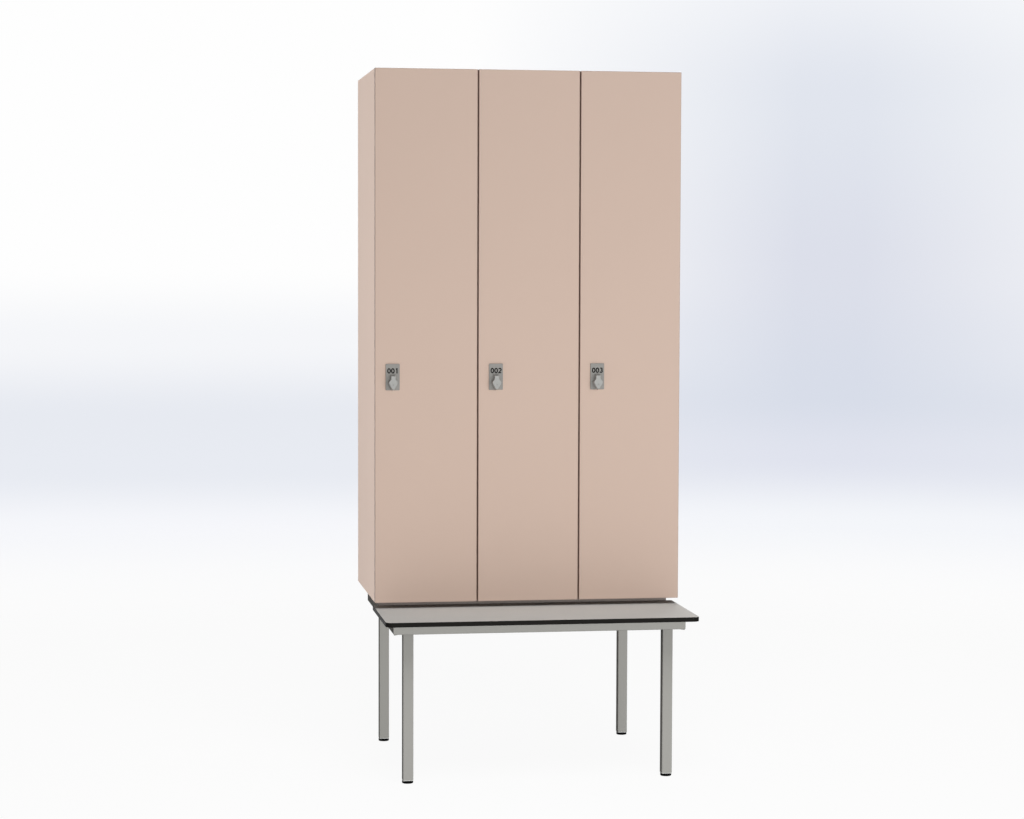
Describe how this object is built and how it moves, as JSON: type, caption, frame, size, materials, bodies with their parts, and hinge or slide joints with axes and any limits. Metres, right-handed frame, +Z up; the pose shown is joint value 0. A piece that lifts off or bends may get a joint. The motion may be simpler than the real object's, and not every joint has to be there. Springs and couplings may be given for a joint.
{
  "type": "locker with bench",
  "caption": "Tall side-by-side lockers with turn locks on a bench: a compact-laminate seat on a square-tube steel frame in front of the doors.",
  "frame": {"origin": "on the floor, in the middle of the object's footprint", "axes": "+Z up, +X along the bench to the right of a person facing the doors, +Y from the seat to the cabinet's back"},
  "size_m": [0.9, 0.807, 2.0372],
  "materials": {
    "frame_coating": "silver-grey powder coat, fine satin",
    "glide_plastic": "black moulded plastic with a pale grey collar",
    "seat_laminate": "warm light-grey compact laminate with a black core showing at the edge",
    "cabinet_board": "faced board, smooth matt blush pink-beige",
    "backing_board": "thin faced board, matt blush pink-beige",
    "coat_rail_metal": "bright plated oval tube",
    "door_board": "faced board, smooth matt blush pink-beige with matching edge bands",
    "lock_plate_metal": "satin grey die casting",
    "lock_knob_metal": "satin pale grey die casting",
    "zinc_plate": "bright zinc plate"
  },
  "bodies": {
    "bench_and_cabinet": {"front_rail": "frame_coating", "rear_rail": "frame_coating", "left_rail": "frame_coating", "right_rail": "frame_coating", "leg_front_left": "frame_coating", "leg_front_right": "frame_coating", "leg_rear_left": "frame_coating", "leg_rear_right": "frame_coating", "foot_front_left": "glide_plastic", "foot_front_right": "glide_plastic", "foot_rear_left": "glide_plastic", "foot_rear_right": "glide_plastic", "bench_board": "seat_laminate", "plinth": "cabinet_board", "left_side": "cabinet_board", "right_side": "cabinet_board", "bottom_panel": "cabinet_board", "top_panel": "cabinet_board", "partition_1": "cabinet_board", "partition_2": "cabinet_board", "shelf_1": "cabinet_board", "shelf_2": "cabinet_board", "shelf_3": "cabinet_board", "back_panel": "backing_board", "coat_rail_1": "coat_rail_metal", "coat_rail_2": "coat_rail_metal", "coat_rail_3": "coat_rail_metal", "lock_strike_1": "zinc_plate", "lock_strike_2": "zinc_plate", "lock_strike_3": "zinc_plate", "hinge_arm_1_bottom": "zinc_plate", "hinge_arm_1_middle": "zinc_plate", "hinge_arm_1_top": "zinc_plate", "hinge_arm_2_bottom": "zinc_plate", "hinge_arm_2_middle": "zinc_plate", "hinge_arm_2_top": "zinc_plate", "hinge_arm_3_bottom": "zinc_plate", "hinge_arm_3_middle": "zinc_plate", "hinge_arm_3_top": "zinc_plate"},
    "locker_door_1": {"door_1": "door_board", "lock_plate_1": "lock_plate_metal", "hinge_cup_1_bottom": "zinc_plate", "hinge_cup_1_middle": "zinc_plate", "hinge_cup_1_top": "zinc_plate"},
    "turn_lock_1": {"lock_knob_1": "lock_knob_metal", "lock_cam_1": "zinc_plate"},
    "locker_door_2": {"door_2": "door_board", "lock_plate_2": "lock_plate_metal", "hinge_cup_2_bottom": "zinc_plate", "hinge_cup_2_middle": "zinc_plate", "hinge_cup_2_top": "zinc_plate"},
    "turn_lock_2": {"lock_knob_2": "lock_knob_metal", "lock_cam_2": "zinc_plate"},
    "locker_door_3": {"door_3": "door_board", "lock_plate_3": "lock_plate_metal", "hinge_cup_3_bottom": "zinc_plate", "hinge_cup_3_middle": "zinc_plate", "hinge_cup_3_top": "zinc_plate"},
    "turn_lock_3": {"lock_knob_3": "lock_knob_metal", "lock_cam_3": "zinc_plate"}
  },
  "joints": [
    {"name": "door_hinge_1", "type": "hinge", "parent": "bench_and_cabinet", "child": "locker_door_1", "pos_m": [-0.152, -0.1115, 1.2642], "axis": [0, 0, 1], "range_deg": [0, 110]},
    {"name": "lock_turn_1", "type": "hinge", "parent": "locker_door_1", "child": "turn_lock_1", "pos_m": [-0.3988, -0.1115, 1.1312], "axis": [0, 1, 0], "range_deg": [0, 90]},
    {"name": "door_hinge_2", "type": "hinge", "parent": "bench_and_cabinet", "child": "locker_door_2", "pos_m": [0.148, -0.1115, 1.2642], "axis": [0, 0, 1], "range_deg": [0, 110]},
    {"name": "lock_turn_2", "type": "hinge", "parent": "locker_door_2", "child": "turn_lock_2", "pos_m": [-0.0968, -0.1115, 1.1312], "axis": [0, 1, 0], "range_deg": [0, 90]},
    {"name": "door_hinge_3", "type": "hinge", "parent": "bench_and_cabinet", "child": "locker_door_3", "pos_m": [0.45, -0.1115, 1.2642], "axis": [0, 0, 1], "range_deg": [0, 110]},
    {"name": "lock_turn_3", "type": "hinge", "parent": "locker_door_3", "child": "turn_lock_3", "pos_m": [0.2032, -0.1115, 1.1312], "axis": [0, 1, 0], "range_deg": [0, 90]}
  ]
}
